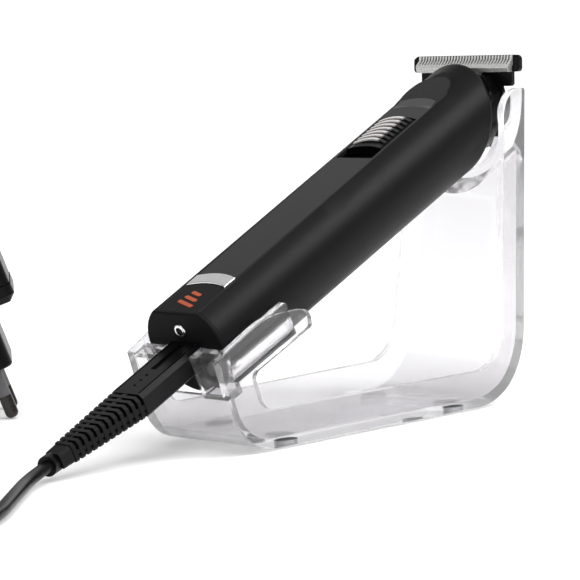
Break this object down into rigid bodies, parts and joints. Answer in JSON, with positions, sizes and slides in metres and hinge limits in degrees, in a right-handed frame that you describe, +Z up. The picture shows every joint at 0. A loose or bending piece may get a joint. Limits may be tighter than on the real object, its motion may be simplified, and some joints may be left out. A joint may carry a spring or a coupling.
{
  "type": "hair clipper",
  "caption": "Cordless T-blade hair clipper resting at a slant in a clear desk stand, with its charging plug in the rear end, a flexible lead and a small mains adapter.",
  "frame": {"origin": "on the table, under the middle of the docked clipper and stand without the lead", "axes": "+Z up; +X along the stand from the low bracket at the charging plug to the tall upright under the blade; +Y across"},
  "size_m": [0.2724, 0.2184, 0.1043],
  "materials": {
    "shell_black": "satin black, fine texture",
    "cap_black": "flat black",
    "badge_gloss": "gloss black",
    "mark_orange": "printed orange",
    "bright_trim": "polished",
    "inlay_gloss": "gloss dark grey",
    "window_grey": "smoked window",
    "gloss_black": "gloss black",
    "rib_grey": "pale grey lines",
    "contact_brass": "plated",
    "inner_grey": "moulded grey",
    "cell_wrap": "shrink wrap",
    "board_green": "solder mask",
    "motor_steel": "plated steel",
    "plug_rubber": "soft matt black",
    "blade_steel": "ground steel",
    "blade_black": "black coated steel",
    "blade_screw_black": "black coated",
    "clear_acrylic": "clear polished acrylic",
    "foot_clear": "clear soft pad",
    "cord_black": "satin black",
    "adapter_black": "semi gloss black",
    "pin_nickel": "nickel plated",
    "sleeve_grey": "grey insulation"
  },
  "bodies": {
    "stand": {"stand": "clear_acrylic", "feet": "foot_clear", "cord_tube": "cord_black", "cord_coil": "cord_black", "cord_tail": "cord_black", "adapter_housing": "adapter_black", "adapter_cover": "adapter_black", "adapter_head": "adapter_black", "mains_pins": "pin_nickel", "pin_sleeves": "sleeve_grey", "adapter_relief": "plug_rubber"},
    "clipper": {"body_shell": "shell_black", "end_cap": "cap_black", "badge_plate": "badge_gloss", "badge_mark": "mark_orange", "chrome_band": "bright_trim", "top_inlay": "inlay_gloss", "indicator_window": "window_grey", "switch_well": "gloss_black", "lamp_ring": "bright_trim", "lamp_lens": "badge_gloss", "socket": "cap_black", "socket_pins": "contact_brass", "chassis": "inner_grey", "battery": "cell_wrap", "circuit_board": "board_green", "board_components": "gloss_black", "motor_can": "motor_steel", "motor_end_bell": "inner_grey", "plug_body": "plug_rubber", "plug_contacts": "contact_brass", "strain_relief": "plug_rubber", "end_sleeve": "plug_rubber", "head_frame": "gloss_black", "fixed_blade": "blade_black", "blade_spring": "motor_steel", "blade_screws": "blade_screw_black"},
    "switch": {"switch_slider": "gloss_black", "switch_ribs": "rib_grey", "switch_contact": "contact_brass"},
    "cutter": {"moving_blade": "blade_steel", "blade_carrier": "inner_grey"},
    "drive": {"motor_shaft": "motor_steel", "rotor": "motor_steel", "eccentric": "inner_grey"}
  },
  "joints": [
    {"name": "lift_out", "type": "slide", "parent": "stand", "child": "clipper", "axis": [0, 0, 1], "range_m": [0, 0.06]},
    {"name": "power_switch", "type": "slide", "parent": "clipper", "child": "switch", "axis": [-0.9033, 0, -0.4289], "range_m": [0, 0.004]},
    {"name": "blade_stroke", "type": "slide", "parent": "clipper", "child": "cutter", "axis": [0, 1, 0], "range_m": [-0.001, 0.001]},
    {"name": "motor_spin", "type": "hinge", "parent": "clipper", "child": "drive", "pos_m": [-0.0634, 0, 0.0281], "axis": [0.9033, 0, 0.4289], "continuous": true}
  ]
}
